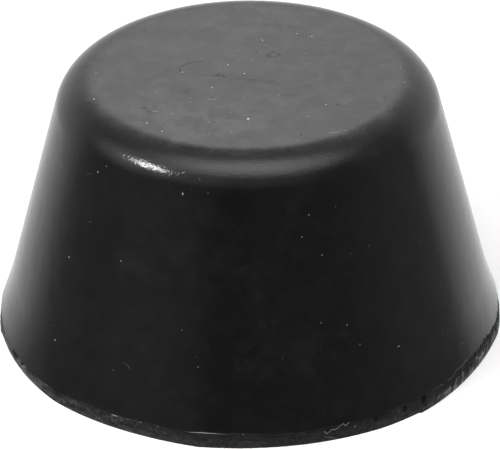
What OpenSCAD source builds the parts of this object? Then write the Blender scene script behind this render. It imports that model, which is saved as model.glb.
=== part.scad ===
// Rubber lift pad: a solid moulded cone with a flat top and a rounded top edge.
// The wall flares a little towards the foot, where a thin web of rubber stands out.
// The web formed where the mould closed, and was trimmed by hand with a knife, in
// curved strokes that meet in faint corners.
// The origin is the middle of the flat underside, with +Z up.
// Directions round the pad are in degrees from +X, counter-clockwise from above.

/* [Body] */
// Diameter of the straight wall, carried down to the underside
wall_d = 74.2; // [60:0.2:90]
// Height of the flat top above the underside
height = 39.2; // [30:0.2:50]
// Lean of the moulded wall in from vertical
taper = 15.3; // [12:0.1:20]
// Radius of the rounded edge round the flat top
top_round = 6; // [2:0.25:9]
// Radius of the hollow curve in which the wall flares at the foot
flare_r = 60; // [40:5:100]
// Height at which the flare starts
flare_h = 8; // [4:0.5:12]

/* [Web at the foot] */
// Mean thickness of the web
web_t = 2.1; // [1.2:0.1:4]
// Slope of the web's upper face, from mould halves that closed unevenly
web_slope = 0.9; // [0.1:0.1:1.4]
// Direction in which the web is thickest
web_high_at = 315; // [0:5:355]

/* [Knife trim] */
// How far the corners between strokes stand out from the straight wall, on the radius
trim_out = 0.45; // [0.4:0.05:0.7]
// How far the middle of a stroke lies inside its two corners
stroke_dip = 0.4; // [0.1:0.05:0.5]
// Lean of the knife in from vertical, always less than the wall's
knife_lean = 4; // [1:0.5:8]

/* [Torn nicks] */
// Radius of the scoop that a torn nick leaves
nick_r = 1.5; // [1:0.1:2.5]
// Depth of a nick below the corners of the trim
nick_depth = 0.65; // [0.5:0.05:0.9]
// Drop from the web's upper face to the middle of a nick
nick_drop = 0.7; // [0.2:0.1:1]

/* [Hidden] */
// Where the knife was lifted, which leaves a corner between two strokes
corner_at = [20, 62, 100, 146, 190, 222, 260, 312, 350];
// Where the trimmed edge is torn
nick_at = [201, 298, 311];
$fn = 180;

wall_r = wall_d / 2;
trim_r = wall_r + trim_out;
// Where the wall would meet the top with no rounding, and where the flat top ends
top_r = wall_r - height * tan(taper);
flat_r = top_r - top_round * tan((90 - taper) / 2);
round_z = height - top_round;

// Height of the web's upper face at the wall, in a direction
function web_top(at) = web_t + wall_r * tan(web_slope) * cos(at - web_high_at);

// Turn in degrees from one corner of the trim to the next
function stroke_turn(i) =
    i + 1 < len(corner_at) ? corner_at[i + 1] - corner_at[i] : 360 + corner_at[0] - corner_at[i];

// Distance of a stroke's centre from the pad's axis, on the far side of the stroke,
// so that its arc passes through both corners and through the dip between them
function stroke_back(half_turn) =
    let (mid_r = trim_r - stroke_dip)
    (trim_r ^ 2 - mid_r ^ 2) / (2 * (mid_r - trim_r * cos(half_turn)));

// Half of the section through the moulded body
module body_profile() {
    arc_centre = [flat_r, round_z];
    outward = [cos(taper), sin(taper)];
    to_wall = top_round * outward;
    polygon([[0, 0], [wall_r, 0], arc_centre + to_wall, arc_centre, [flat_r, height], [0, height]]);
    // The rounded edge is the part of a circle between the wall and the flat top
    translate(arc_centre)
        intersection() {
            circle(top_round);
            polygon([[0, 0], 2 * to_wall, 2 * top_round * [1, 1], 2 * top_round * [0, 1]]);
        }
    // The flare fills the corner between the wall and the underside up to a circle outside the wall
    flare_start = [wall_r - flare_h * tan(taper), flare_h];
    flare_centre = flare_start + flare_r * outward;
    flare_end = flare_centre[0] - sqrt(flare_r ^ 2 - flare_centre[1] ^ 2);
    difference() {
        polygon([flare_start, [wall_r, 0], [flare_end, 0]]);
        translate(flare_centre) circle(flare_r);
    }
}

// The web as it left the mould, before the trim
module web() {
    intersection() {
        cylinder(h = height, r = wall_d);
        translate([0, 0, web_t])
            rotate([0, -web_slope, web_high_at])
                translate([-2 * wall_d, -2 * wall_d, -wall_d])
                    cube([4 * wall_d, 4 * wall_d, wall_d]);
    }
}

// All that one knife stroke leaves standing
module stroke(i) {
    half_turn = stroke_turn(i) / 2;
    back = stroke_back(half_turn);
    foot_r = back + trim_r - stroke_dip;
    tall = 2 * height;
    rotate(corner_at[i] + half_turn)
        translate([-back, 0, 0])
            cylinder(h = tall, r1 = foot_r, r2 = foot_r - tall * tan(knife_lean));
}

// A scoop out of the trimmed edge, just under the web's upper face
module nick(at) {
    rotate(at)
        translate([trim_r + nick_r - nick_depth, 0, web_top(at) - nick_drop])
            sphere(nick_r);
}

module pad() {
    color("#1b1b1c")
        difference() {
            intersection() {
                union() {
                    rotate_extrude() body_profile();
                    web();
                }
                intersection_for (i = [0 : len(corner_at) - 1]) stroke(i);
            }
            for (at = nick_at) nick(at);
        }
}

pad();
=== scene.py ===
"""A solid rubber lift pad on a pale studio floor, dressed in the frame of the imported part.

All places are in metres, with +Z up and the camera on the -Y side. Directions round the pad
are in degrees from +X, counter-clockwise from above, so 270 faces the camera.
"""

import math

import bpy
import numpy as np
from mathutils import Matrix, Vector


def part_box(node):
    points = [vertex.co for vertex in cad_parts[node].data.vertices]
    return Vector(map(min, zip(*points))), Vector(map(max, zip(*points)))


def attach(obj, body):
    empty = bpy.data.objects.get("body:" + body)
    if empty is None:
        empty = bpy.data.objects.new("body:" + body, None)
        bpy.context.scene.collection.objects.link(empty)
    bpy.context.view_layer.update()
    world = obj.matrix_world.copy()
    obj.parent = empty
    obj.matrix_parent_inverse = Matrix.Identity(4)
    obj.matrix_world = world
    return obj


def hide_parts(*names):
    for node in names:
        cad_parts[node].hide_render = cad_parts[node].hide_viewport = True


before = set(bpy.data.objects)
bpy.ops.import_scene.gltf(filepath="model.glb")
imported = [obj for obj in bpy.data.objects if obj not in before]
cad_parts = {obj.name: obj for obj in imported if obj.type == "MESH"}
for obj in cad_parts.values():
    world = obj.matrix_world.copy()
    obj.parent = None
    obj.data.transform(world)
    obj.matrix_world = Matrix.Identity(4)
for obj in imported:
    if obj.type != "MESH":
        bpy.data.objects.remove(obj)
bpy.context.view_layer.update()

MM = 0.001

# The moulded body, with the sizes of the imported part
WALL_R = 37.1 * MM
TAPER = math.radians(15.3)
TOP_ROUND = 6.0 * MM
FLARE_R = 60.0 * MM
FLARE_H = 8.0 * MM
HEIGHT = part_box("pad")[1].z
SLOPE = math.tan(TAPER)
FLAT_R = WALL_R - HEIGHT * SLOPE - TOP_ROUND * math.tan((math.pi / 2 - TAPER) / 2)
ROUND_Z = HEIGHT - TOP_ROUND
# Centre of the hollow curve in which the wall flares at the foot
FLARE_X = WALL_R - FLARE_H * SLOPE + FLARE_R * math.cos(TAPER)
FLARE_Z = FLARE_H + FLARE_R * math.sin(TAPER)

# The knife trim round the foot. For each corner and the stroke that follows it: direction,
# radius and dip in millimetres, and the share of the stroke at which it is deepest
STROKES = [
    (20, 37.55, 0.4, 0.5), (62, 37.55, 0.4, 0.5), (100, 37.55, 0.4, 0.5), (146, 37.55, 0.4, 0.5),
    (191, 37.55, 0.26, 0.31), (222, 37.66, 0.4, 0.57), (259, 37.56, 0.35, 0.45), (299, 37.51, 0, 0.5),
    (308.9, 37.53, 0, 0.5), (309.8, 37.78, 0.4, 0.57), (346.5, 37.62, 0.25, 0.5),
]
# Stretches of the rim by how they were cut or worn, where the cut face is darker, and where its bevel is
# paler,
# worn and painted as a highlight: first and last direction, and the fade at each end, in degrees
CHIPPED = (160, 252, 12)
CHIPPED_PALE = (160, 220, 6)
DARK_CORNER = (219, 226, 3)
DARK_FRONT = (240, 304, 12)
TORN = (309, 368, 16)
TORN_LIP = (312, 364, 6)
WORN_LEFT = (222, 266, 10)
WORN_RIGHT = (306, 348, 12)
# Stretch where the bevel is paler: worn rubber, and a painted highlight along the lip
WORN_LIP_AND_HIGHLIGHT = (310, 348, 10)
DRAWN_OUT = (215, 318, 15)
# Height of the lip where the cut ends, as directions and millimetres
LIP_HEIGHTS = [
    (5, 1.5), (40, 1.9), (90, 1.7), (140, 1.5), (172, 1.4), (190, 1.42), (194, 1.28), (198, 1.33),
    (205, 1.43), (208.6, 1.3), (212, 1.25), (217, 1.4), (222, 1.55), (227, 1.75), (232, 1.9), (238, 1.9),
    (246, 2.1), (255, 1.95), (262, 2.08), (268, 2.2), (276, 1.95), (290, 2.1), (304, 2.25), (312, 2.05),
    (319, 1.95), (325, 2.5), (328, 2.55), (333, 2.3), (338, 2.45), (342.4, 1.98), (346, 1.72),
    (350, 1.6),
]
# Unevenness of the lip in millimetres: waves, a ragged edge, and how much more ragged it is where torn
LIP_WAVES, LIP_RAGGED, LIP_TORN = 0.03, 0.02, 0.13
# The skin at the lip, in millimetres: how far it spreads from the wall, how much more where it is drawn
# out, and the height over which it runs back to a wall that lies inside or outside the lip
SPREAD_LEAST, SPREAD_DRAWN = 0.01, 0.06
REACH_INSIDE, REACH_OUTSIDE = 1.0, 2.5
# How far the lip stays inside the foot
LIP_SETBACK = 0.08 * MM
# Width of the worn bevel above the lip in millimetres: on the left, on the right and the least of all
BEVEL_LEFT, BEVEL_RIGHT, BEVEL_LEAST = 0.012, 0.065, 0.005
# Stretches where the edge above the cut has a bevel that catches the light, its rubber painted paler as
# a
# highlight: direction, half width in degrees, width of the bevel in millimetres, its rise over its width
# and how pale it is painted
GLINTS = [(260.4, 3.6, 0.1, 0.8, 0.92), (239.2, 0.7, 0.08, 1.0, 1.25)]
# Torn nicks in the cut face, painted dark inside as shade: direction, half width in degrees, share of
# the face's height, half height as a share, and depth in millimetres
NICKS = [
    (203.2, 1.4, 0.82, 0.3, 0.2), (207.9, 0.8, 0.85, 0.25, 0.15), (299.3, 1.1, 0.84, 0.07, 0.12),
    (298.2, 0.3, 0.66, 0.1, 0.15), (305.7, 0.38, 0.64, 0.14, 0.15), (311.2, 0.5, 0.72, 0.2, 0.4),
]

# The camera, placed so that the pad fills the 500 by 449 frame as in the photograph
PHOTO_W, PHOTO_H = 500, 449
FOCAL_PX = 2668
SENSOR_W = 36.0
CAMERA_DISTANCE = 393.75 * MM
CAMERA_ELEVATION = math.radians(30.844)
CAMERA_ROLL = math.radians(-0.541)
CAMERA_AIM = Vector((0.15, 0.0, 13.82)) * MM
CLIP_START = 0.01

# Mesh density: points round the rim, and round the rest of the body
RIM_COUNT = 2400
FINE_PER_COARSE = 5
BODY_COUNT = RIM_COUNT // FINE_PER_COARSE
# Rows up the rim: the edge of its foot, the cut from a share of its height up, the bevel as shares of
# its height, and the skin as millimetres above the bevel and as shares of the way to the rim's top
FOOT_EDGE = 0.03 * MM
CUT_START = 0.03
CUT_ROWS = 17
BEVEL_PARTS = (0.2, 0.8, 1.0)
SKIN_STEPS = (0.01, 0.06, 0.25, 0.7, 1.4)
SKIN_PARTS = (0.75, 1.0)
RIM_TOP = 6.0 * MM
# Rows of the body, and the rings of the underside and the flat top as shares of their radius
ABOVE_RIM = 0.5 * MM
FLARE_ROWS, WALL_ROWS, ROUND_ROWS = 4, 9, 25
UNDER_PARTS = (0.3, 0.7, 0.95)
TOP_PARTS = (0.97, 0.85, 0.6, 0.3)
# Rows of the rounded edge, counted down from the flat top, that carry the top's material
TOP_EDGE_ROWS = 14
WALL_SLOT, CUT_SLOT, TOP_SLOT = 0, 1, 2
rng = np.random.default_rng(7)

# Dust and dirt, with a few painted glints on the rim and painted shade on the top, as pixels of the
# photograph.
# Each mark is a line through its pixels, or a spot.
GRAIN_PX = [[(248.2, 118.8)]]
TOP_SPECKS_PX = [
    [(326, 104.5)], [(297, 33.5)], [(312, 36.5)], [(228, 65)], [(212, 87.5)], [(262.5, 40.5)],
    [(147, 123)], [(162, 131)], [(94, 99)], [(182.5, 72)], [(244.5, 73.5)],
]
TOP_FAINT_PX = [
    [(311, 104.5)], [(253, 59.5)], [(240, 50.5)], [(203, 37.5)], [(201, 45.5)], [(217.5, 26.5)],
    [(226.5, 25.5)], [(220, 71.5)], [(298.5, 22.5)], [(279, 22.5)], [(330.5, 45.5)], [(306, 53.5)],
    [(319.5, 78.5)], [(400.5, 67.5)], [(361.5, 121.5)], [(366, 117)], [(346, 130.5)], [(296.5, 140.5)],
    [(413, 90.5)], [(239.5, 10.5)], [(375, 38.5)], [(265, 45.5)], [(307, 116.5)], [(376.5, 57.5)],
    [(225.5, 75.5)], [(391, 108.8)], [(172.5, 113.5)], [(130.5, 101.7)], [(231.5, 112.3)],
    [(190.4, 102.4)], [(209.2, 122)], [(208.7, 133.4)], [(231.7, 132)], [(172.4, 139.2)], [(309, 36.7)],
]
TOP_LINT_PX = [
    [(329.5, 132.4), (339, 132.2)], [(403, 82.4), (406, 82.4)], [(208, 98.5), (212, 100), (216, 98.8)],
    [(153, 111.6), (157.5, 111.3)],
]
TOP_HAIR_PX = [
    [
        (204, 60.8), (198, 62), (191, 62.6), (186, 63.8), (182, 66), (179.6, 68.8), (180.6, 71.2),
        (182.4, 72.4),
    ],
]
TOP_PITS_PX = [[(256.5, 51.5)], [(301, 135)], [(306.5, 84.6)], [(385, 97.5)]]
TOP_SCUFF_PX = [[(166, 70), (178, 72.5), (200, 74.5), (225, 77)]]
TOP_SMUDGE_PX = [
    [(215.6, 75.4), (219, 73.8), (223.6, 75.8)], [(338, 104), (346, 105.5)],
    [(143.5, 108.5), (151, 112.3)],
]
TOP_RING_PX = [[(267, 54.5), (270, 57), (276, 57.3), (279.5, 55), (277, 52), (271, 52), (267, 54.5)]]
TOP_SMEAR_PX = [
    [(241, 79), (269, 81.6), (289, 83.7)], [(265, 24.5), (285, 25.5), (298, 27.5)],
    [(184, 92.5), (189, 90.5)], [(280, 95.5), (301, 94.8)],
]
# Soft darker patches by the back left edge of the top: painted shade
TOP_SHADE_PX = [
    [(86, 67), (93, 62)], [(98, 52), (104, 45), (112, 38.5), (125, 33), (139, 29)],
]
TOP_HAZE_PX = [[(164, 116), (186, 122), (214, 124), (240, 118)]]
WALL_BRIGHT_PX = [[(98, 172)], [(69, 257)], [(55, 340)]]
WALL_SPECKS_PX = [
    [(106.2, 166.4)], [(121, 261)], [(322, 255)], [(302, 237)], [(309, 215)], [(321, 323)], [(347, 325)],
    [(360, 344.5)], [(462.5, 343)], [(60.7, 165.5)],
]
WALL_FAINT_PX = [
    [(199.6, 179.4)], [(208, 193.2)], [(182, 330)], [(198, 367)], [(113, 370)], [(54, 325)],
    [(442.5, 333)], [(182.4, 172.9), (184.4, 172.3)], [(397.6, 346.8), (399.4, 345.6)],
    [(68.6, 205.4)], [(87.8, 173.4)], [(89.6, 222)],
]
WALL_LINT_PX = [[(182.6, 192.8), (182.6, 194.6)]]
WALL_HAIR_PX = [[(125, 363), (129, 367), (130, 370)]]
WALL_HAZE_PX = [
    [(245, 272), (256, 284), (262, 300), (268, 328)], [(299, 256), (297, 270)], [(244, 352), (243, 378)],
    [(298, 350), (318, 354)], [(308, 364), (326, 350), (346, 338)], [(122, 262), (150, 274), (172, 282)],
]
THREAD_PX = [
    [
        (324.2, 431.3), (326.7, 433.9), (332.3, 429.3), (335, 429.8), (343, 423.7), (345.6, 425.7),
        (349, 422.7),
    ],
]
THREAD_END_PX = [[(324.5, 437), (331.8, 437.2), (336, 438.3)]]
RIM_FLAKES_PX = [[(22.6, 366.2), (25, 366.6)]]
# Pale specks on the rim: dust, and a few painted glints on the lip
RIM_SPECKS_AND_GLINTS_PX = [
    [(41.5, 382.5)], [(99.5, 418.3)], [(355.3, 426.2)], [(243, 434.4)], [(140.5, 422.4)],
    [(157.6, 426.6)], [(144.6, 421.8)],
]

# The kinds of marks on each material: their pixels, half width and strength
WALL_DUST = [
    (WALL_BRIGHT_PX, 0.08 * MM, 0.95), (WALL_SPECKS_PX, 0.08 * MM, 0.32),
    (WALL_FAINT_PX, 0.07 * MM, 0.2), (WALL_LINT_PX, 0.05 * MM, 0.6), (WALL_HAIR_PX, 0.04 * MM, 0.08),
    (THREAD_PX, 0.05 * MM, 0.28),
]
WALL_HAZE = [(WALL_HAZE_PX, 1.2 * MM, 0.12)]
RIM_DUST_AND_GLINTS = [
    (THREAD_PX, 0.05 * MM, 0.28), (THREAD_END_PX, 0.045 * MM, 0.16), (RIM_SPECKS_AND_GLINTS_PX, 0.07 * MM, 0.4),
    (RIM_FLAKES_PX, 0.14 * MM, 0.2),
]
TOP_DUST = [
    (GRAIN_PX, 0.15 * MM, 1.0), (TOP_SPECKS_PX, 0.09 * MM, 0.9), (TOP_FAINT_PX, 0.07 * MM, 0.34),
    (TOP_LINT_PX, 0.05 * MM, 0.25),
]
TOP_SCRATCHES = [
    (TOP_HAIR_PX, 0.06 * MM, 0.65), (TOP_PITS_PX, 0.11 * MM, 1.0), (TOP_SCUFF_PX, 0.1 * MM, 0.3),
]
TOP_SMEARS_AND_SHADE = [
    (TOP_SMUDGE_PX, 0.32 * MM, 0.45), (TOP_RING_PX, 0.3 * MM, 0.4), (TOP_SMEAR_PX, 0.5 * MM, 0.28),
    (TOP_SHADE_PX, 1.4 * MM, 0.28),
]
TOP_HAZE = [(TOP_HAZE_PX, 4.0 * MM, 1.2)]


def camera_matrix():
    """Place and turn of the camera, looking down on the pad from the front."""
    back = Vector((0, -math.cos(CAMERA_ELEVATION), math.sin(CAMERA_ELEVATION)))
    up = Vector((0, math.sin(CAMERA_ELEVATION), math.cos(CAMERA_ELEVATION)))
    turn = Matrix((Vector((1, 0, 0)), up, back)).transposed()
    place = Matrix.Translation(CAMERA_AIM + back * CAMERA_DISTANCE)
    return place @ turn.to_4x4() @ Matrix.Rotation(CAMERA_ROLL, 4, "Z")


def make_camera():
    """The scene's camera, with the photograph's field of view."""
    data = bpy.data.cameras.new("camera")
    data.sensor_width = SENSOR_W
    data.lens = FOCAL_PX * SENSOR_W / PHOTO_W
    data.clip_start = CLIP_START
    camera = bpy.data.objects.new("camera", data)
    camera.matrix_world = camera_matrix()
    bpy.context.scene.collection.objects.link(camera)
    bpy.context.scene.camera = camera


def spot(pad, pixel):
    """The place on the pad that shows at a pixel of the photograph."""
    x = (pixel[0] - PHOTO_W / 2) / FOCAL_PX
    y = (PHOTO_H / 2 - pixel[1]) / FOCAL_PX
    matrix = camera_matrix()
    hit, place, _, _ = pad.ray_cast(matrix.translation, matrix.to_3x3() @ Vector((x, y, -1)))
    if not hit:
        raise ValueError(f"no part of the pad shows at pixel {pixel}")
    return place


def smooth(x, low, high):
    """0 below low, 1 above high and a smooth step between."""
    t = np.clip((x - low) / (high - low), 0, 1)
    return t * t * (3 - 2 * t)


def ring_angles(count):
    """Even angles round the axis, in radians."""
    return 2 * np.pi * np.arange(count) / count


def around(angle, degrees):
    """Signed turn in degrees from a direction to each angle."""
    return (np.degrees(angle) - degrees + 180) % 360 - 180


def stretch(angle, first, last, fade):
    """1 between two directions, fading to 0 over some degrees at each end."""
    half = (last - first) / 2
    return 1 - smooth(np.abs(around(angle, first + half)), half - fade, half)


def ring_noise(cells_round, cells_up, slant=0.0):
    """A smooth random field from -1 to 1 over the rim, closed round the ring and leaning by a slant."""
    grid = rng.uniform(-1, 1, (cells_round, cells_up + 2))

    def field(angle, t):
        u = angle / (2 * np.pi) * cells_round - slant * t
        v = np.clip(t, 0, 1) * cells_up + 0 * u
        i, j = np.floor(u).astype(int), np.floor(v).astype(int)
        part_u, part_v = smooth(u - i, 0, 1), smooth(v - j, 0, 1)
        near, far = i % cells_round, (i + 1) % cells_round
        low = grid[near, j] * (1 - part_u) + grid[far, j] * part_u
        high = grid[near, j + 1] * (1 - part_u) + grid[far, j + 1] * part_u
        return low * (1 - part_v) + high * part_v

    return field


def wall_radius(z):
    """Radius of the moulded wall at a height: straight, with a hollow flare at the foot."""
    flared = FLARE_X - np.sqrt(FLARE_R**2 - (z - FLARE_Z) ** 2)
    return np.where(z < FLARE_H, flared, WALL_R - z * SLOPE)


def trim_outline(angle):
    """Radius of the trimmed foot: curved knife strokes that meet in corners."""
    radius = np.zeros_like(angle)
    first_at, first_r = STROKES[0][:2]
    ends = [(at, r) for at, r, _, _ in STROKES[1:]] + [(first_at + 360, first_r)]
    for (at, start_r, dip, deepest), (end_at, end_r) in zip(STROKES, ends):
        share = ((np.degrees(angle) - at) % 360) / (end_at - at)
        inside = np.clip(share, 0, 1)
        bow = 1 - (2 * inside ** (math.log(0.5) / math.log(deepest)) - 1) ** 2
        radius = np.where(share < 1, start_r + (end_r - start_r) * inside - dip * bow, radius)
    return radius * MM


def lip_height(angle):
    """Height of the lip, a smooth curve through the listed heights."""
    at = np.array([LIP_HEIGHTS[-1][0] - 360] + [a for a, _ in LIP_HEIGHTS] + [LIP_HEIGHTS[0][0] + 360])
    height = np.array([LIP_HEIGHTS[-1][1]] + [h for _, h in LIP_HEIGHTS] + [LIP_HEIGHTS[0][1]])
    degrees = np.degrees(angle) % 360
    low = np.clip(np.searchsorted(at, degrees) - 1, 0, len(at) - 2)
    part = smooth(degrees, at[low], at[low + 1])
    return (height[low] * (1 - part) + height[low + 1] * part) * MM


def cut_surface(angle, t):
    """How far the cut face stands out at a share t of its height, and how pale its rubber is, painted
    light included.
    """
    facets, scratches = ring_noise(75, 2)(angle, t), ring_noise(60, 9)(angle, t)
    pits, mottle = ring_noise(330, 5)(angle, t), ring_noise(150, 2)(angle, t)
    speckle, grit = ring_noise(800, 8)(angle, t), ring_noise(450, 5)(angle, t)
    flakes, fibres = ring_noise(620, 3, slant=8)(angle, t), ring_noise(1200, 5, slant=14)(angle, t)
    ragged, teeth = ring_noise(110, 1, slant=2)(angle, t), ring_noise(520, 1, slant=6)(angle, t)

    out = (0.02 * facets + 0.012 * scratches + 0.012 * speckle) * (1 - smooth(t, 0.7, 1.0))
    pale = 0.05 * scratches + 0.04 * mottle + 0.05 * speckle + 0.03 * grit
    # Paler towards the foot, painted light from the floor, and darker just under the lip, painted shade
    pale += 0.41 - 0.18 * t - 0.07 * smooth(t, 0.8, 1.0)
    pale -= 0.05 * stretch(angle, *DARK_FRONT) + 0.12 * stretch(angle, *DARK_CORNER)
    # Chipped on the left
    chipped = stretch(angle, *CHIPPED)
    out -= 0.04 * chipped * smooth(pits, 0.1, 0.8)
    chips = 0.06 * mottle + 0.08 * speckle + 0.06 * grit - 0.14 * smooth(pits, 0.2, 0.8) + 0.06
    pale += chipped * chips
    pale += 0.12 * stretch(angle, *CHIPPED_PALE)
    # Torn on the right: flakes along the foot, under a ragged groove that runs below the lip
    torn = stretch(angle, *TORN)
    above = smooth(t + 0.1 * ragged + 0.16 * teeth, 0.42, 0.56)
    streaks = 0.8 * flakes + fibres
    out += torn * (1 - above) * smooth(t, 0.03, 0.3) * (0.09 * flakes + 0.07 * fibres)
    out -= torn * above * (0.14 - 0.06 * flakes)
    pale += torn * (1 - above) * 1.3 * smooth(streaks, -0.05, 0.8)
    # Under the lip the torn rubber is painted darker, a painted shade in the groove, and paler at the
    # lip's edge, a painted highlight
    pale += torn * above * (0.16 * smooth(streaks, 0.2, 1.0) - 0.09 + 0.4 * smooth(t, 0.82, 1.0))
    for at, half, level, half_level, depth in NICKS:
        hole = np.exp(-((around(angle, at) / half) ** 2) - ((t - level) / half_level) ** 2)
        out -= depth * hole
        # Dark inside the nicks: painted shade in the holes
        pale -= 1.1 * hole
    return out * MM, np.clip(pale, 0, 1.3)


def lip_bevel(angle):
    """Width of the bevel above the lip, its rise over its width, and how pale it is, with painted
    highlights.
    """
    worn = ring_noise(260, 1)(angle, np.zeros_like(angle))
    width = BEVEL_LEFT * smooth(worn, 0.1, 1.0) * stretch(angle, *WORN_LEFT)
    width += BEVEL_RIGHT * smooth(worn, -0.7, 0.3) * stretch(angle, *WORN_RIGHT)
    rise, pale = np.full_like(angle, 1.0), 0.3 + 0.25 * stretch(angle, *WORN_LIP_AND_HIGHLIGHT)
    # Where a glint lies, the bevel is painted paler: a painted highlight
    for at, half, bevel, steep, shine in GLINTS:
        near = np.exp(-((around(angle, at) / half) ** 4))
        rise = np.where(near * bevel > width, steep, rise)
        pale = np.where(near * bevel > width, shine, pale)
        width = np.maximum(width, near * bevel)
    return np.maximum(width, BEVEL_LEAST) * MM, rise, pale


def rim_rows():
    """Rows of radius, height and paleness, painted light included, up the rim, and the count of them to
    the top of the bevel.
    """
    angle = ring_angles(RIM_COUNT)
    flat = np.zeros_like(angle)
    foot = trim_outline(angle)
    torn = stretch(angle, *TORN_LIP)
    uneven = LIP_WAVES * ring_noise(190, 1)(angle, flat)
    uneven += (LIP_RAGGED + LIP_TORN * torn) * ring_noise(420, 1)(angle, flat)
    lip = lip_height(angle) + uneven * MM
    # The bevel's paleness, named worn, is painted as a highlight at the glints and along the right of
    # the lip
    bevel, rise, worn = lip_bevel(angle)

    # Above the lip the moulded skin runs out from the wall to where the knife cut it
    spread = (SPREAD_LEAST + SPREAD_DRAWN * stretch(angle, *DRAWN_OUT)) * MM
    spread = np.minimum(spread, foot - LIP_SETBACK - wall_radius(lip))
    reach = np.where(spread > 0, REACH_INSIDE, REACH_OUTSIDE) * MM

    def skin(z):
        above = z - lip
        hollow = spread * np.maximum(1 - above / reach, 0) ** 2
        return wall_radius(z) + hollow + np.maximum(bevel - above / rise, 0)

    rows = [(foot - 6 * FOOT_EDGE, flat, flat), (foot - FOOT_EDGE, flat, flat)]
    share = np.linspace(CUT_START, 1, CUT_ROWS)[:, None]
    out, pale = cut_surface(angle, share)
    cut_r = foot + (skin(lip) - foot) * share + out
    cut_r[-1] = skin(lip)
    rows += [(r, s * lip, p) for r, s, p in zip(cut_r, share, pale)]
    bevel_top = lip + bevel * rise
    rows += [(skin(z), z, worn) for z in (lip + (bevel_top - lip) * part for part in BEVEL_PARTS)]
    cut_count = len(rows)
    heights = [bevel_top + step * MM for step in SKIN_STEPS]
    heights += [bevel_top + (RIM_TOP - bevel_top) * part for part in SKIN_PARTS]
    rows += [(skin(z), z, flat) for z in heights]
    return rows, cut_count


def body_rows():
    """Rows of radius and height up the wall, over the rounded edge and in across the top."""
    wall_top = ROUND_Z + TOP_ROUND * math.sin(TAPER)
    heights = list(np.linspace(RIM_TOP + ABOVE_RIM, FLARE_H, FLARE_ROWS))
    heights += list(np.linspace(FLARE_H, wall_top, WALL_ROWS)[1:])
    rows = [(float(wall_radius(z)), z) for z in heights]
    for tilt in np.linspace(math.pi / 2 - TAPER, 0, ROUND_ROWS)[1:]:
        rows.append((FLAT_R + TOP_ROUND * math.sin(tilt), ROUND_Z + TOP_ROUND * math.cos(tilt)))
    edge_count = len(rows)
    rows += [(FLAT_R * part, HEIGHT) for part in TOP_PARTS]
    return rows, edge_count


class RingMesh:
    """Vertices and faces gathered ring by ring from the underside to the top."""

    def __init__(self):
        self.points, self.pale, self.faces, self.slots = [], [], [], []

    def take(self, points, pale):
        """Keep some points and how pale they are, and return the number of the first."""
        first = sum(len(kept) for kept in self.points)
        self.points.append(points)
        self.pale.append(pale)
        return first

    def ring(self, count, radius, height, pale=0.0):
        """A ring of points. Its radius, height and paleness may vary round it."""
        angle = ring_angles(count)
        axes = (radius * np.cos(angle), radius * np.sin(angle), height)
        points = np.column_stack([np.broadcast_to(axis, angle.shape) for axis in axes])
        return self.take(points, np.broadcast_to(pale, angle.shape)) + np.arange(count)

    def tip(self, height):
        """One point on the axis."""
        return self.take(np.array([[0, 0, height]]), np.zeros(1))

    def face(self, corners, slot):
        """One face in a material slot."""
        self.faces.append([int(i) for i in corners])
        self.slots.append(slot)

    def bridge(self, low, high, slot):
        """Join two rings, of one count or with five points of one to each point of the other."""
        if len(low) == len(high):
            for i in range(len(low)):
                j = (i + 1) % len(low)
                self.face((low[i], low[j], high[j], high[i]), slot)
            return
        flip = len(low) < len(high)
        coarse, fine = (low, high) if flip else (high, low)
        middle = FINE_PER_COARSE // 2 + 1
        for i in range(len(coarse)):
            ends = [coarse[i], coarse[(i + 1) % len(coarse)]]
            run = [fine[(i * FINE_PER_COARSE + k) % len(fine)] for k in range(FINE_PER_COARSE + 1)]
            triangles = [(run[k], run[k + 1], ends[k >= middle]) for k in range(FINE_PER_COARSE)]
            triangles.append((run[middle], ends[1], ends[0]))
            for triangle in triangles:
                self.face(triangle[::-1] if flip else triangle, slot)

    def fan(self, ring, tip, slot, upward):
        """Close a ring with triangles to a point on the axis."""
        for i in range(len(ring)):
            corners = (ring[i], ring[(i + 1) % len(ring)], tip)
            self.face(corners if upward else corners[::-1], slot)

    def build(self, name):
        """The gathered points and faces as a smooth mesh that carries the paleness."""
        mesh = bpy.data.meshes.new(name)
        mesh.from_pydata(np.vstack(self.points).tolist(), [], self.faces)
        mesh.polygons.foreach_set("material_index", self.slots)
        mesh.polygons.foreach_set("use_smooth", [True] * len(self.faces))
        pale = mesh.attributes.new("pale", "FLOAT", "POINT")
        pale.data.foreach_set("value", np.concatenate(self.pale))
        mesh.validate()
        mesh.update()
        return mesh


def make_pad():
    """The whole pad as one closed mesh."""
    grid = RingMesh()
    rim, cut_count = rim_rows()
    body, edge_count = body_rows()
    foot = trim_outline(ring_angles(BODY_COUNT))
    rings = [grid.ring(BODY_COUNT, foot * part, 0.0) for part in UNDER_PARTS]
    slots = [WALL_SLOT] * len(rings)
    for i, (radius, height, pale) in enumerate(rim):
        rings.append(grid.ring(RIM_COUNT, radius, height, pale))
        slots.append(CUT_SLOT if 1 <= i < cut_count - 1 else WALL_SLOT)
    for i, (radius, height) in enumerate(body):
        rings.append(grid.ring(BODY_COUNT, radius, height))
        slots.append(WALL_SLOT if i < edge_count - TOP_EDGE_ROWS else TOP_SLOT)
    for low, high, slot in zip(rings, rings[1:], slots):
        grid.bridge(low, high, slot)
    grid.fan(rings[0], grid.tip(0.0), WALL_SLOT, upward=False)
    grid.fan(rings[-1], grid.tip(HEIGHT), TOP_SLOT, upward=True)
    pad = bpy.data.objects.new("moulded_pad", grid.build("moulded_pad"))
    bpy.context.scene.collection.objects.link(pad)
    bpy.context.view_layer.update()
    return pad


def new_material(name):
    """An empty material and its node tree."""
    material = bpy.data.materials.new(name)
    material.use_nodes = True
    material.node_tree.nodes.clear()
    return material, material.node_tree


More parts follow.
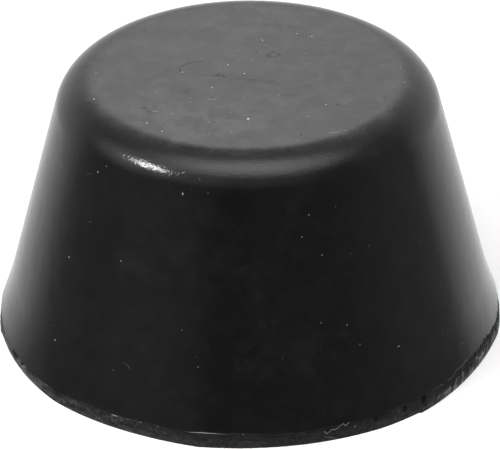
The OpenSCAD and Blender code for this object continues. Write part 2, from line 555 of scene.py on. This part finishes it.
def add(tree, kind, inputs=None, **settings):
    """A new node, with its settings, and its inputs set or linked."""
    node = tree.nodes.new(kind)
    for name, value in settings.items():
        setattr(node, name, value)
    for key, value in (inputs or {}).items():
        if isinstance(value, bpy.types.NodeSocket):
            tree.links.new(value, node.inputs[key])
        else:
            node.inputs[key].default_value = value
    return node


def math_node(tree, operation, a, b=0.0, clamp=False):
    """A sum, product or the like of two numbers."""
    return add(tree, "ShaderNodeMath", {0: a, 1: b}, operation=operation, use_clamp=clamp).outputs[0]


def vector_node(tree, operation, a, b=(0, 0, 0)):
    """A sum, distance or the like of two vectors."""
    node = add(tree, "ShaderNodeVectorMath", {0: a, 1: b}, operation=operation)
    return node.outputs["Value" if operation in ("DISTANCE", "DOT_PRODUCT", "LENGTH") else "Vector"]


def scaled(tree, vector, factor):
    """A vector times a number."""
    inputs = {0: vector, "Scale": factor}
    return add(tree, "ShaderNodeVectorMath", inputs, operation="SCALE").outputs["Vector"]


def mix(tree, factor, a, b):
    """A mix of two colours."""
    inputs = {"Factor": factor, "A": a, "B": b}
    return add(tree, "ShaderNodeMix", inputs, data_type="RGBA").outputs["Result"]


def blend(tree, factor, a, b):
    """A mix of two numbers."""
    return add(tree, "ShaderNodeMix", {"Factor": factor, "A": a, "B": b}).outputs["Result"]


def remap(tree, value, low, high, to_low=0.0, to_high=1.0):
    """A value taken from one range to another along a smooth step."""
    inputs = {"Value": value, "From Min": low, "From Max": high, "To Min": to_low, "To Max": to_high}
    return add(tree, "ShaderNodeMapRange", inputs, interpolation_type="SMOOTHSTEP").outputs["Result"]


def noise_node(tree, where, size, detail=2.0, roughness=0.5, distortion=0.0, output="Fac"):
    """Noise whose blotches are about size across, in metres."""
    inputs = {"Vector": where, "Scale": 1 / size, "Detail": detail, "Roughness": roughness}
    inputs["Distortion"] = distortion
    return add(tree, "ShaderNodeTexNoise", inputs).outputs[output]


def wander(tree, where, size, reach):
    """Places shifted at random by up to a reach, so that marks drawn there have uneven edges."""
    shift = vector_node(tree, "SUBTRACT", noise_node(tree, where, size, output="Color"), (0.5, 0.5, 0.5))
    return vector_node(tree, "ADD", where, scaled(tree, shift, 2 * reach))


def distance_to(tree, where, lines):
    """Distance to the nearest of some lines through places. A line with one place is a spot."""
    nearest = None
    for line in lines:
        for start, end in zip(line, line[1:] or line):
            away, run = vector_node(tree, "SUBTRACT", where, start), end - start
            if run.length:
                share = vector_node(tree, "DOT_PRODUCT", away, run / run.length_squared)
                share = math_node(tree, "MULTIPLY", share, 1.0, clamp=True)
                distance = vector_node(tree, "DISTANCE", away, scaled(tree, run, share))
            else:
                distance = vector_node(tree, "LENGTH", away)
            nearest = distance if nearest is None else math_node(tree, "MINIMUM", nearest, distance)
    return nearest


def marks(tree, where, pad, kinds):
    """Cover by marks of several kinds, each a list of pixel lines, a half width and a strength."""
    cover = None
    for pixels, half_width, strength in kinds:
        lines = [[spot(pad, pixel) for pixel in line] for line in pixels]
        distance = distance_to(tree, where, lines)
        mask = remap(tree, distance, 1.5 * half_width, 0.5 * half_width, 0.0, strength)
        cover = mask if cover is None else math_node(tree, "MAXIMUM", cover, mask)
    return cover


# Stray dust: the spacing of the lattice, the radii of a grain's edge and core as shares of it, and how
# much the grains cover
STRAY_SPACING = 2.4 * MM
STRAY_EDGE, STRAY_CORE = 0.06, 0.03
STRAY_COVER = 0.3


def stray_dust(tree, where):
    """Cover by fine dust that lies anywhere: the points of a random lattice that graze the surface."""
    cell = add(tree, "ShaderNodeTexVoronoi", {"Vector": where, "Scale": 1 / STRAY_SPACING})
    chance = add(tree, "ShaderNodeSeparateColor", {0: cell.outputs["Color"]}).outputs[0]
    amount = remap(tree, chance, 0.3, 1.0, 0.0, STRAY_COVER)
    grains = remap(tree, cell.outputs["Distance"], STRAY_EDGE, STRAY_CORE)
    return math_node(tree, "MULTIPLY", grains, amount)


RUBBER_IOR = 1.5
SKIN_SPECULAR, CUT_SPECULAR = 0.5, 0.3


def shade(tree, colour, roughness, normal, specular):
    """The surface of a material."""
    inputs = {"Base Color": colour, "Roughness": roughness, "Normal": normal}
    shader = add(tree, "ShaderNodeBsdfPrincipled", inputs)
    shader.inputs["IOR"].default_value = RUBBER_IOR
    shader.inputs["Specular IOR Level"].default_value = specular
    add(tree, "ShaderNodeOutputMaterial", {"Surface": shader.outputs[0]})


# The moulded rubber: its colours, grain, waves and clouds of bloom
BLACK = (0.0038, 0.0038, 0.004, 1)
BLOOM = (0.034, 0.034, 0.034, 1)
DUST_AND_GLINT = (0.8, 0.8, 0.79, 1)
GRAIN_SIZE, GRAIN_DEPTH = 0.28 * MM, 0.025 * MM
WAVE_SIZE, WAVE_DEPTH = 3.0 * MM, 0.045 * MM
CLOUD_SIZE = 3.5 * MM
# Depths below the flat top between which the bloom comes in, and how much there is on the wall
BLOOM_FROM, BLOOM_FULL = 0.6 * MM, 0.05 * MM
WALL_BLOOM = 0.14
SATIN_LOW, SATIN_HIGH = 0.08, 0.11
DIRT_ROUGHNESS, DUST_ROUGHNESS = 0.75, 0.9
# How marks wander: the size and reach of their uneven edges
FINE_WANDER = (0.6 * MM, 0.07 * MM)
SMEAR_WANDER = (1.5 * MM, 0.6 * MM)
CUT_WANDER = (0.6 * MM, 0.05 * MM)
PATCH_SIZE = 0.9 * MM


def moulded_rubber(name, pad, pale_marks, haze, scratches=None, smears_and_shade=None):
    """Moulded rubber: near black and satin, with a fine grain, a pale bloom on top, dust and dirt, and
    painted shade.
    """
    material, tree = new_material(name)
    where = add(tree, "ShaderNodeTexCoord").outputs["Object"]
    height = add(tree, "ShaderNodeSeparateXYZ", {0: where}).outputs["Z"]
    uneven, vague = wander(tree, where, *FINE_WANDER), wander(tree, where, *SMEAR_WANDER)
    grain = noise_node(tree, where, GRAIN_SIZE, 1.4, 0.5)
    waves = noise_node(tree, where, WAVE_SIZE, 3)
    cloud = noise_node(tree, where, CLOUD_SIZE, 6, 0.74, 0.4)
    film = remap(tree, height, HEIGHT - BLOOM_FROM, HEIGHT - BLOOM_FULL, WALL_BLOOM, 1.0)
    film = math_node(tree, "ADD", film, marks(tree, vague, pad, haze))
    colour = mix(tree, math_node(tree, "MULTIPLY", remap(tree, cloud, 0.36, 0.74), film), BLACK, BLOOM)
    roughness = remap(tree, cloud, 0.7, 0.3, SATIN_LOW, SATIN_HIGH)
    if scratches:
        patchy = remap(tree, noise_node(tree, where, PATCH_SIZE, 3), 0.35, 0.6, 0.4, 1.0)
        cover = math_node(tree, "MULTIPLY", marks(tree, vague, pad, smears_and_shade), patchy)
        cover = math_node(tree, "MAXIMUM", marks(tree, uneven, pad, scratches), cover)
        colour = mix(tree, cover, colour, BLACK)
        roughness = blend(tree, cover, roughness, DIRT_ROUGHNESS)
    # Less dust settles on the wall than on the top
    settled = remap(tree, height, HEIGHT - MM, HEIGHT, 0.2, 1.0)
    stray = math_node(tree, "MULTIPLY", stray_dust(tree, where), settled)
    cover = math_node(tree, "MAXIMUM", marks(tree, uneven, pad, pale_marks), stray)
    colour = mix(tree, cover, colour, DUST_AND_GLINT)
    roughness = blend(tree, cover, roughness, DUST_ROUGHNESS)
    bump = add(tree, "ShaderNodeBump", {"Height": waves, "Distance": WAVE_DEPTH})
    inputs = {"Height": grain, "Distance": GRAIN_DEPTH, "Normal": bump.outputs[0]}
    bump = add(tree, "ShaderNodeBump", inputs)
    shade(tree, colour, roughness, bump.outputs[0], SKIN_SPECULAR)
    return material


# The cut rubber: its colours, grain and blotches
CUT_DARK = (0.004, 0.004, 0.004, 1)
CUT_PALE = (0.2, 0.2, 0.198, 1)
CUT_GRAIN_SIZE, CUT_GRAIN_DEPTH = 0.35 * MM, 0.02 * MM
CUT_BLOTCH_SIZE = 0.5 * MM


def cut_rubber(name, pad, pale_marks):
    """Knife-cut or torn rubber: rougher than the moulded skin, paler where torn, with painted light,
    shade and glints.
    """
    material, tree = new_material(name)
    where = add(tree, "ShaderNodeTexCoord").outputs["Object"]
    pale = add(tree, "ShaderNodeAttribute", attribute_name="pale").outputs["Fac"]
    grain = noise_node(tree, where, CUT_GRAIN_SIZE, 4, 0.65)
    blotch = noise_node(tree, where, CUT_BLOTCH_SIZE, 4, 0.7)
    tone = math_node(tree, "MULTIPLY", pale, remap(tree, blotch, 0.25, 0.75, 0.6, 1.35))
    colour = mix(tree, math_node(tree, "POWER", tone, 2.0), CUT_DARK, CUT_PALE)
    roughness = remap(tree, tone, 0.05, 0.4, 0.85, 0.55)
    cover = marks(tree, wander(tree, where, *CUT_WANDER), pad, pale_marks)
    colour = mix(tree, cover, colour, DUST_AND_GLINT)
    bump = add(tree, "ShaderNodeBump", {"Height": grain, "Distance": CUT_GRAIN_DEPTH, "Strength": 1.0})
    shade(tree, colour, roughness, bump.outputs[0], CUT_SPECULAR)
    return material


FLOOR_SIZE = 12.0
FLOOR_COLOUR = (0.9, 0.9, 0.9, 1)
FLOOR_GLOW = 0.25


def make_floor():
    """A plain floor that the camera sees nearly white. The pad's gloss shows the room in its place."""
    half = FLOOR_SIZE / 2
    mesh = bpy.data.meshes.new("floor")
    corners = [(-half, -half, 0), (half, -half, 0), (half, half, 0), (-half, half, 0)]
    mesh.from_pydata(corners, [], [(0, 1, 2, 3)])
    material, tree = new_material("pale_floor")
    shader = add(tree, "ShaderNodeBsdfDiffuse", {"Color": FLOOR_COLOUR})
    path = add(tree, "ShaderNodeLightPath").outputs
    seen = math_node(tree, "MAXIMUM", path["Is Camera Ray"], path["Is Glossy Ray"])
    seen = math_node(tree, "MAXIMUM", seen, path["Is Transmission Ray"])
    glow = add(tree, "ShaderNodeEmission", {"Strength": math_node(tree, "MULTIPLY", seen, FLOOR_GLOW)})
    both = add(tree, "ShaderNodeAddShader", {0: shader.outputs[0], 1: glow.outputs[0]})
    add(tree, "ShaderNodeOutputMaterial", {"Surface": both.outputs[0]})
    mesh.materials.append(material)
    floor = bpy.data.objects.new("floor", mesh)
    floor.visible_glossy = False
    bpy.context.scene.collection.objects.link(floor)


def soft_panel(name, place, width, height, radiance, core):
    """A soft lamp that faces the pad, even over a core and fading to its edges."""
    data = bpy.data.lights.new(name, "AREA")
    data.shape = "RECTANGLE"
    data.size, data.size_y = width, height
    data.energy = radiance * math.pi * width * height
    data.use_nodes = True
    tree = data.node_tree
    tree.nodes.clear()
    place_on_panel = add(tree, "ShaderNodeNewGeometry").outputs["Parametric"]
    across = add(tree, "ShaderNodeSeparateXYZ", {0: place_on_panel})
    fade = 1.0
    for axis in "XY":
        away = math_node(tree, "ABSOLUTE", math_node(tree, "SUBTRACT", across.outputs[axis], 0.5))
        fade = math_node(tree, "MULTIPLY", fade, remap(tree, away, core / 2, 0.5, 1.0, 0.0))
    glow = add(tree, "ShaderNodeEmission", {"Color": (1, 1, 1, 1), "Strength": fade})
    add(tree, "ShaderNodeOutputLight", {"Surface": glow.outputs[0]})
    lamp = bpy.data.objects.new(name, data)
    lamp.location = place
    lamp.rotation_euler = Vector(place).to_track_quat("Z", "Y").to_euler()
    bpy.context.scene.collection.objects.link(lamp)


def towards(azimuth, elevation, distance):
    """A point in a direction from the pad, in degrees."""
    a, e = math.radians(azimuth), math.radians(elevation)
    return distance * Vector((math.cos(e) * math.cos(a), math.cos(e) * math.sin(a), math.sin(e)))


# Lamps round the pad: name, place, width, height, radiance, and the share that is even. The small bright
# window gives the highlight on the rounded edge.
LAMPS = [
    ("top_panel", (0.0, -0.3, 1.0), 2.25, 1.3, 2.35, 0.0),
    ("back_panel", towards(93, 34.5, 1.4), 1.2, 0.8, 0.82, 0.0),
    ("side_window", towards(205.2, 36.5, 1.0), 0.48, 0.185, 34.0, 0.15),
    ("side_glow", towards(192, 33, 1.0), 1.3, 1.1, 0.88, 0.0),
    ("front_glow", towards(230, 30, 1.0), 0.9, 0.6, 0.22, 0.0),
]

# The room's brightness by degrees from the front, left to right, level with the pad and halfway up
ROOM_LEVEL = [
    (-180, 0.94), (-162, 0.84), (-150, 0.82), (-138, 0.77), (-126, 0.70), (-119, 0.58), (-112, 0.42),
    (-106, 0.29), (-98, 0.2), (-78, 0.19), (-66, 0.25), (-45, 0.25), (-30, 0.21), (-23, 0.17),
    (-17, 0.1), (0, 0.1), (18, 0.13), (42, 0.14), (54, 0.17), (78, 0.25), (102, 0.26), (108, 0.42),
    (114, 0.64), (126, 0.82), (138, 0.84), (150, 0.84), (162, 0.83), (180, 0.97),
]
ROOM_HALFWAY = [
    (-180, 0.9), (-162, 0.81), (-150, 0.72), (-138, 0.54), (-126, 0.43), (-114, 0.35), (-102, 0.43),
    (-84, 0.62), (-60, 0.58), (-30, 0.54), (0, 0.4), (30, 0.37), (42, 0.3), (54, 0.19), (66, 0.27),
    (84, 0.42), (102, 0.33), (114, 0.39), (126, 0.54), (138, 0.67), (150, 0.78), (162, 0.82), (180, 0.9),
]
ROOM_UPPER = 0.57
ROOM_ZENITH = 0.74
# How far the bright room behind reaches round at the level of the pad, as a share of the turn
ROOM_SWELL = 0.035
# The bands of the room, as sines of the height above the horizon: where the swell comes and goes, where
# each band gives way to the next, and where the part in the floor's place comes in
SWELL_FROM, SWELL_FULL = -0.26, -0.05
SWELL_HOLDS, SWELL_ENDS = 0.1, 0.3
HALFWAY_FROM, HALFWAY_FULL = 0.22, 0.62
UPPER_FROM, UPPER_FULL = 0.7, 0.82
ZENITH_FROM, ZENITH_FULL = 0.81, 0.94
FLOOR_FROM, FLOOR_FULL = -0.1, -0.45
# Gain of the room, and of the part in the floor's place
ROOM_GAIN, FLOOR_GAIN = 0.98, 1.12


def room_ramp(tree, turn, levels):
    """Brightness by the turn from the front, through the listed levels."""
    share = math_node(tree, "ADD", math_node(tree, "MULTIPLY", turn, 0.5 / math.pi), 0.5)
    ramp = add(tree, "ShaderNodeValToRGB", {0: share})
    stops = ramp.color_ramp.elements
    while len(stops) < len(levels):
        stops.new(0.5)
    for stop, (degrees, level) in zip(stops, levels):
        stop.position = (degrees + 180) / 360
        stop.color = (level, level, level, 1)
    return ramp.outputs[0]


def make_world():
    """A soft room: bright behind the pad, dim towards the camera."""
    world = bpy.data.worlds.new("studio")
    world.use_nodes = True
    tree = world.node_tree
    tree.nodes.clear()
    direction = add(tree, "ShaderNodeTexCoord").outputs["Generated"]
    axes = add(tree, "ShaderNodeSeparateXYZ", {0: direction})
    up = axes.outputs["Z"]
    front = math_node(tree, "MULTIPLY", axes.outputs["Y"], -1.0)
    turn = math_node(tree, "ARCTAN2", axes.outputs["X"], front)
    swell = remap(tree, up, SWELL_FROM, SWELL_FULL, -1.0, 1.0)
    swell = math_node(tree, "SUBTRACT", swell, remap(tree, up, SWELL_HOLDS, SWELL_ENDS, 0.0, 1.2))
    widen = math_node(tree, "ADD", math_node(tree, "MULTIPLY", swell, ROOM_SWELL), 1.0)
    turn = math_node(tree, "MULTIPLY", turn, widen)
    room, halfway = room_ramp(tree, turn, ROOM_LEVEL), room_ramp(tree, turn, ROOM_HALFWAY)
    room = blend(tree, remap(tree, up, HALFWAY_FROM, HALFWAY_FULL), room, halfway)
    room = blend(tree, remap(tree, up, UPPER_FROM, UPPER_FULL), room, ROOM_UPPER)
    room = blend(tree, remap(tree, up, ZENITH_FROM, ZENITH_FULL), room, ROOM_ZENITH)
    gain = remap(tree, up, FLOOR_FROM, FLOOR_FULL, ROOM_GAIN, FLOOR_GAIN)
    strength = math_node(tree, "MULTIPLY", room, gain)
    background = add(tree, "ShaderNodeBackground", {"Color": (1, 1, 1, 1), "Strength": strength})
    add(tree, "ShaderNodeOutputWorld", {"Surface": background.outputs[0]})
    bpy.context.scene.world = world


make_camera()
pad = make_pad()
# The materials, in the order of their slots
for material in (
    moulded_rubber("moulded_wall", pad, WALL_DUST, WALL_HAZE),
    cut_rubber("cut_rim", pad, RIM_DUST_AND_GLINTS),
    moulded_rubber("moulded_top", pad, TOP_DUST, TOP_HAZE, TOP_SCRATCHES, TOP_SMEARS_AND_SHADE),
):
    pad.data.materials.append(material)
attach(pad, "root")
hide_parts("pad")
make_floor()
for lamp in LAMPS:
    soft_panel(*lamp)
make_world()
bpy.context.scene.view_settings.view_transform = "Standard"
